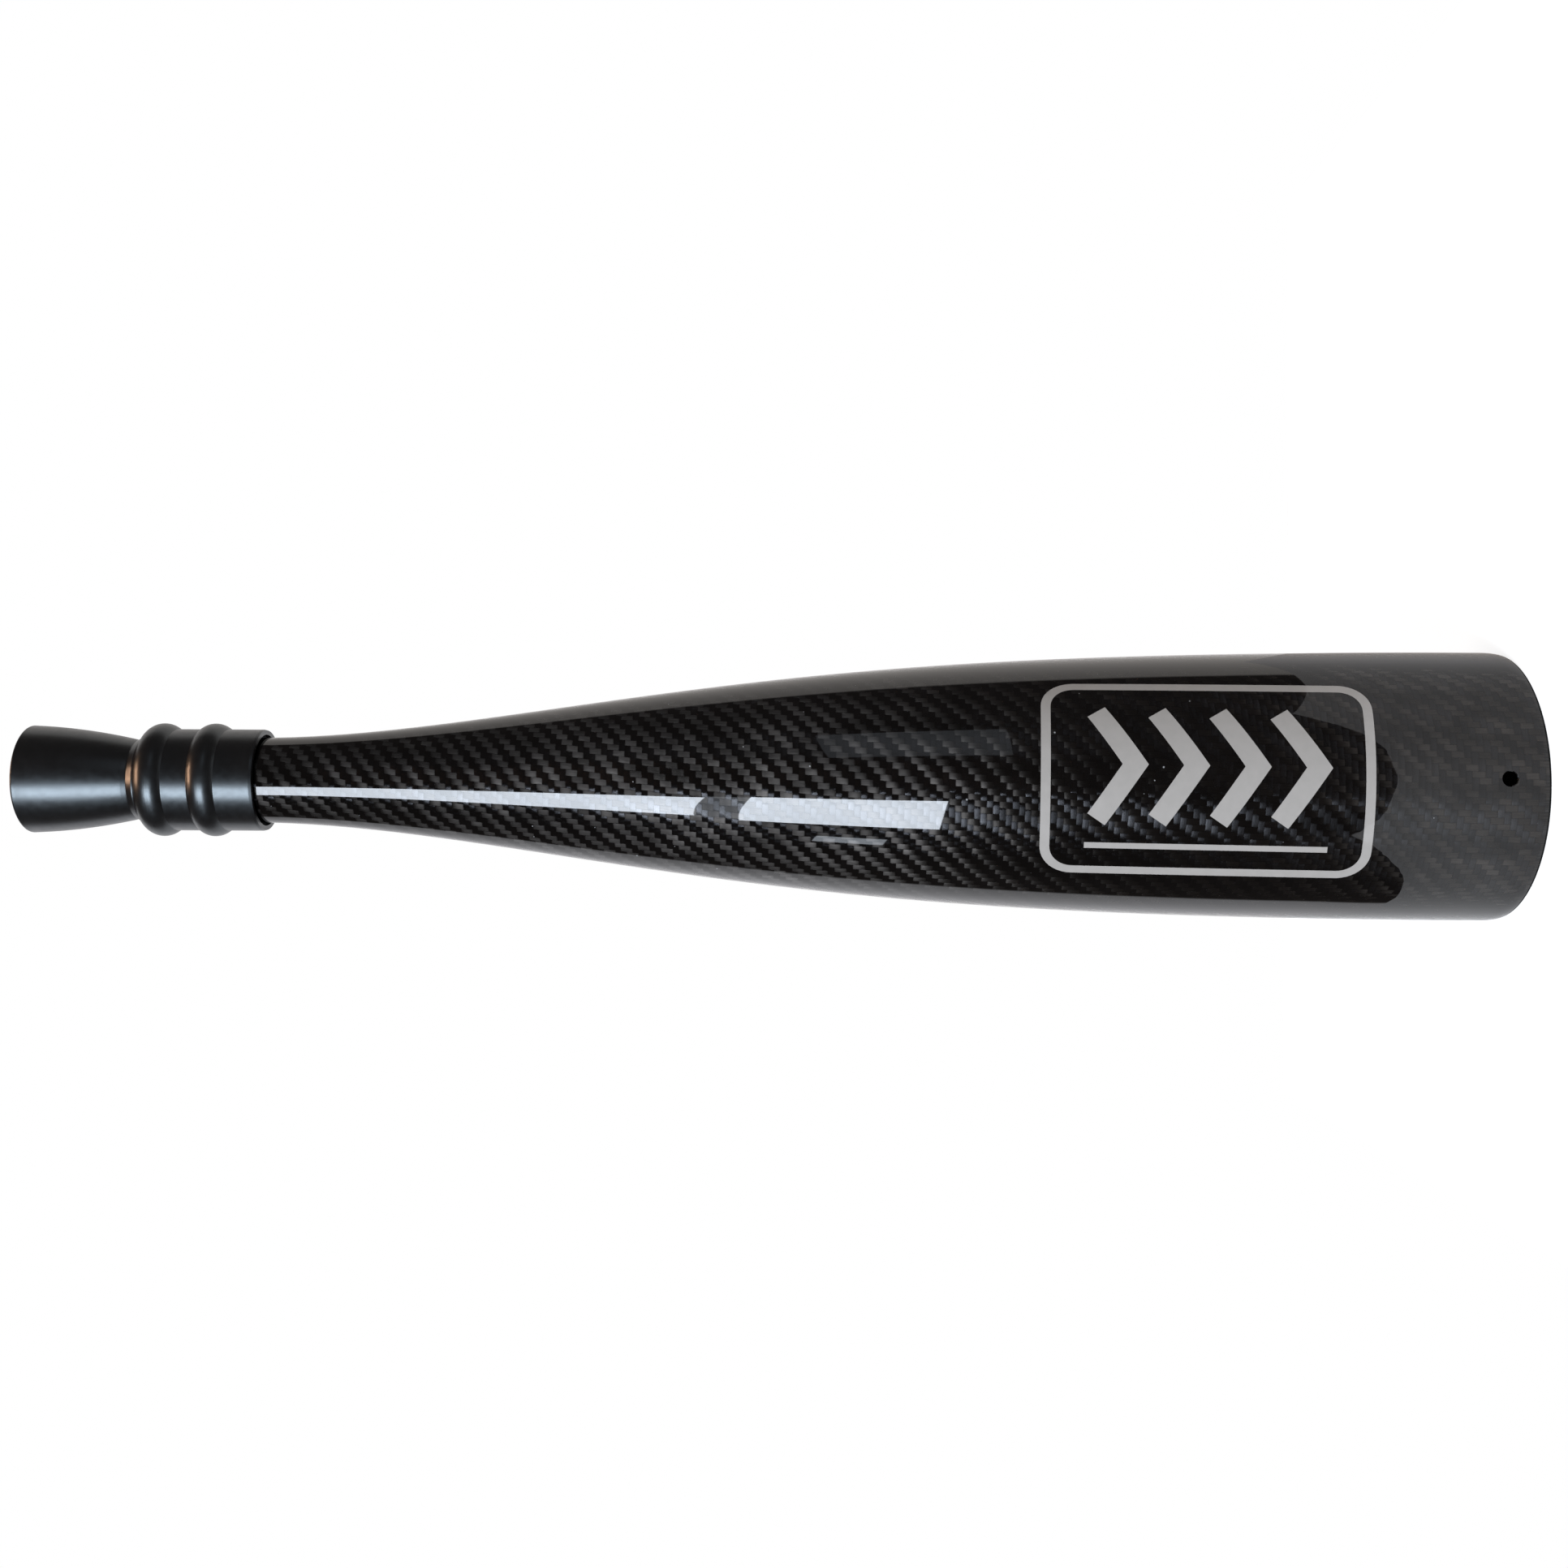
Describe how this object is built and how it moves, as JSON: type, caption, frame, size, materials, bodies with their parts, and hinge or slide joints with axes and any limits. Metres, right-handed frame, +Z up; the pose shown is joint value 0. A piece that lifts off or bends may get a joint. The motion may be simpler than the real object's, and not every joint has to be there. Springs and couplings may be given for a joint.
{
  "type": "elk bugle tube",
  "caption": "Flared carbon-fibre bugle tube, open from end to end, with a beaded metal mouthpiece that pulls off the neck and turns on its sealing rings.",
  "frame": {"origin": "centre of the bell's open rim, on the plane that the tube stands on", "axes": "+Z up the tube from the bell towards the mouthpiece; -Y faces the side with the lanyard hole"},
  "size_m": [0.0974, 0.0974, 0.5313],
  "materials": {
    "carbon_laminate": "2x2 twill carbon-fibre laminate under a gloss clear coat",
    "black_anodised": "black satin anodised, turned",
    "ring_rubber": "matt moulded rubber"
  },
  "bodies": {
    "bell": {"bell_tube": "carbon_laminate"},
    "seal_rings": {"front_ring": "ring_rubber", "rear_ring": "ring_rubber"},
    "mouthpiece_set": {"collar": "black_anodised", "mouthpiece": "black_anodised"}
  },
  "joints": [
    {"name": "mouthpiece_pull", "type": "slide", "parent": "bell", "child": "seal_rings", "axis": [0, 0, 1], "range_m": [0, 0.06]},
    {"name": "mouthpiece_turn", "type": "hinge", "parent": "seal_rings", "child": "mouthpiece_set", "pos_m": [0, 0, 0.4646], "axis": [0, 0, 1], "continuous": true}
  ]
}
